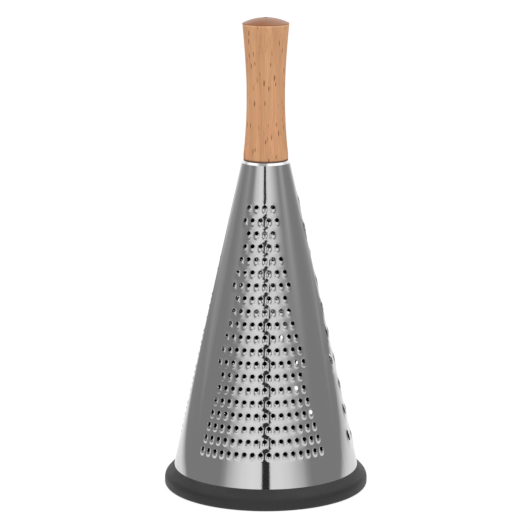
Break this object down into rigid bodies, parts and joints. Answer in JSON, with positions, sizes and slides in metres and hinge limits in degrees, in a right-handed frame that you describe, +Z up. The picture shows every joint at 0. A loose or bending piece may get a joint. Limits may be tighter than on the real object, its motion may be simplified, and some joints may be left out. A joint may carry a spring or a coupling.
{
  "type": "cone grater",
  "caption": "Hand-held conical steel grater with three toothed zones, a turned beech handle on top and a rubber ring that it stands on",
  "frame": {"origin": "centre of the base ring's bottom face, on the table that the grater stands on", "axes": "+Z up along the cone's axis, -Y towards the front zone of teeth, +X to the right seen from the front"},
  "size_m": [0.1274, 0.1274, 0.2941],
  "materials": {
    "steel_sheet": "bright rolled stainless sheet, satin to polished",
    "beech": "turned and oiled beech with short dark flecks",
    "ring_rubber": "matt dark grey rubber",
    "steel_plate": "pressed stainless plate",
    "steel_fastener": "bright zinc-plated steel"
  },
  "bodies": {
    "root": {"grater_cone": "steel_sheet", "handle": "beech", "base_ring": "ring_rubber", "retaining_plate": "steel_plate", "washer": "steel_fastener", "handle_screw": "steel_fastener"}
  },
  "joints": []
}
